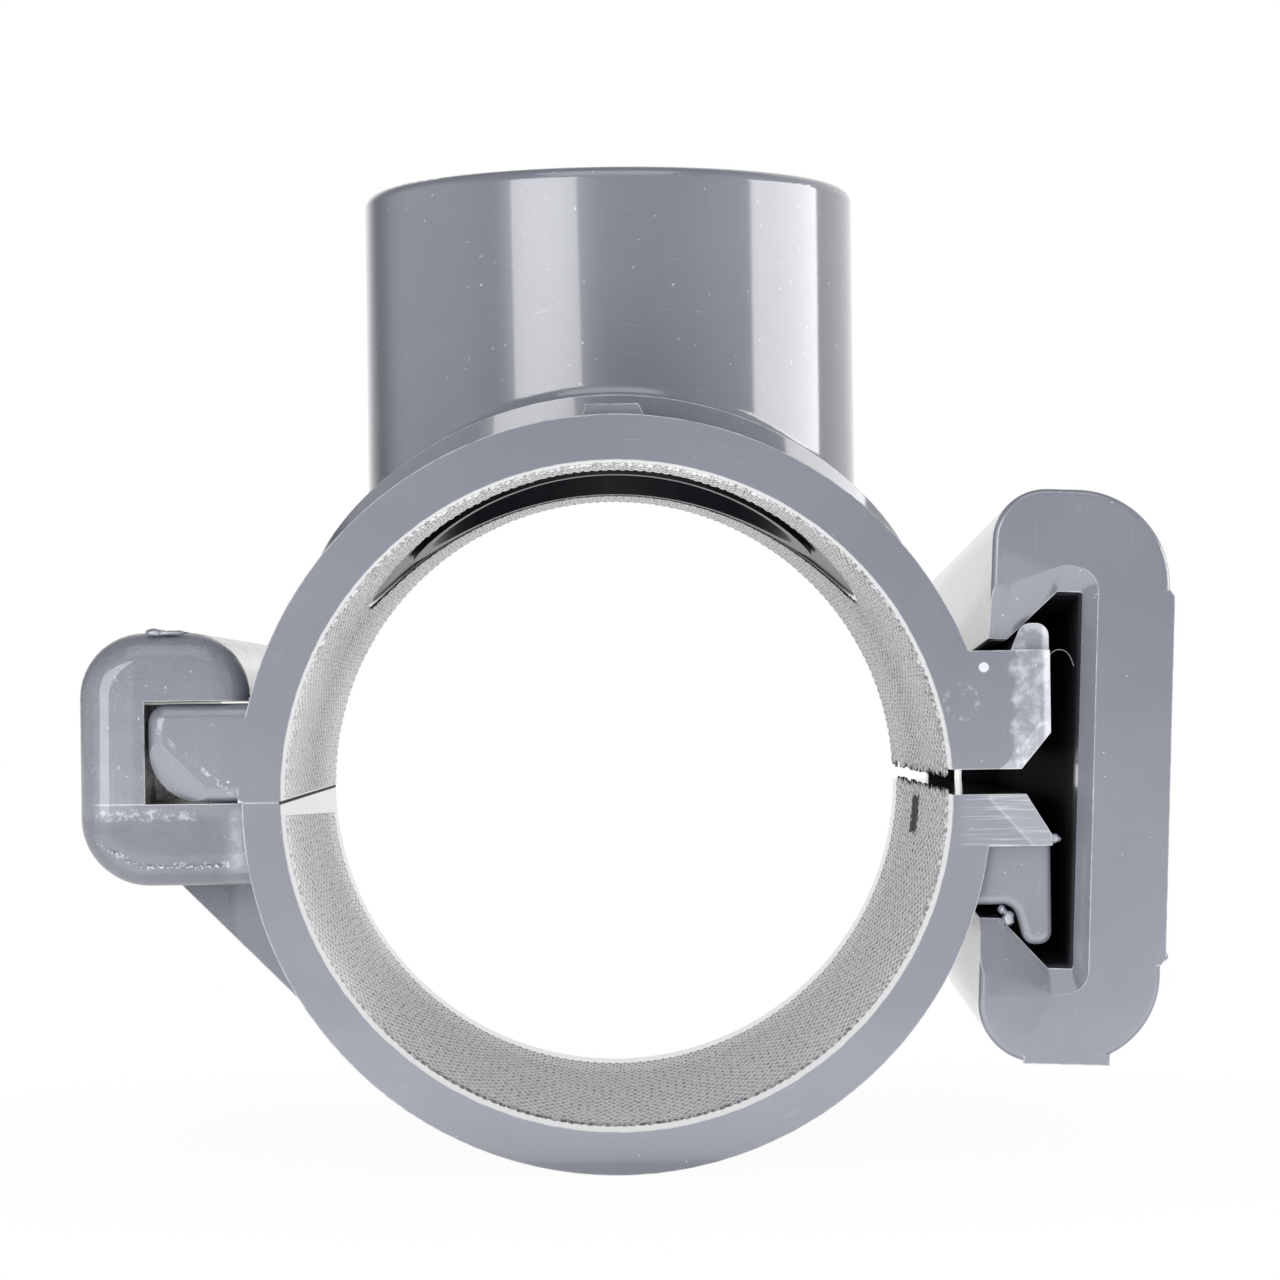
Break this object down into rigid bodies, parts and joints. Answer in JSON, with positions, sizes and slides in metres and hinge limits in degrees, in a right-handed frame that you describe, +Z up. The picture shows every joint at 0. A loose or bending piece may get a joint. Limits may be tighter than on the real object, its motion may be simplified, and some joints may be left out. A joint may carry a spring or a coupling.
{
  "type": "pipe saddle clamp",
  "caption": "Grey plastic saddle that clamps round a pipe, hooked at one side and drawn tight by a tapered wedge at the other, with a branch socket over a rubber seal.",
  "frame": {"origin": "on the axis of the clamped pipe, at the middle of the saddle's length", "axes": "+Z up along the branch, +Y along the pipe away from the open end of the wedge, +X towards the wedge"},
  "size_m": [0.1038, 0.0835, 0.0972],
  "materials": {
    "grey_upper": "moulded rigid PVC, dark grey with a soft gloss and fine scratches",
    "grey_lower": "moulded rigid PVC, dark grey with a soft gloss and a knurled bore",
    "grey_wedge": "moulded rigid PVC, dark grey and smooth",
    "seal": "black moulded rubber, satin"
  },
  "bodies": {
    "saddle": {"upper_half": "grey_upper", "branch_seal": "seal"},
    "strap": {"lower_half": "grey_lower"},
    "wedge": {"locking_wedge": "grey_wedge"}
  },
  "joints": [
    {"name": "wedge_slide", "type": "slide", "parent": "saddle", "child": "wedge", "axis": [0, 1, 0], "range_m": [0, 0.085]},
    {"name": "hook_hinge", "type": "hinge", "parent": "saddle", "child": "strap", "pos_m": [-0.03524, 0, 0.00995], "axis": [0, 1, 0], "range_deg": [0, 2.5]}
  ],
  "couplings": [
    {"joint": "hook_hinge", "follows": "wedge_slide", "rad_per_m": 0.5}
  ]
}
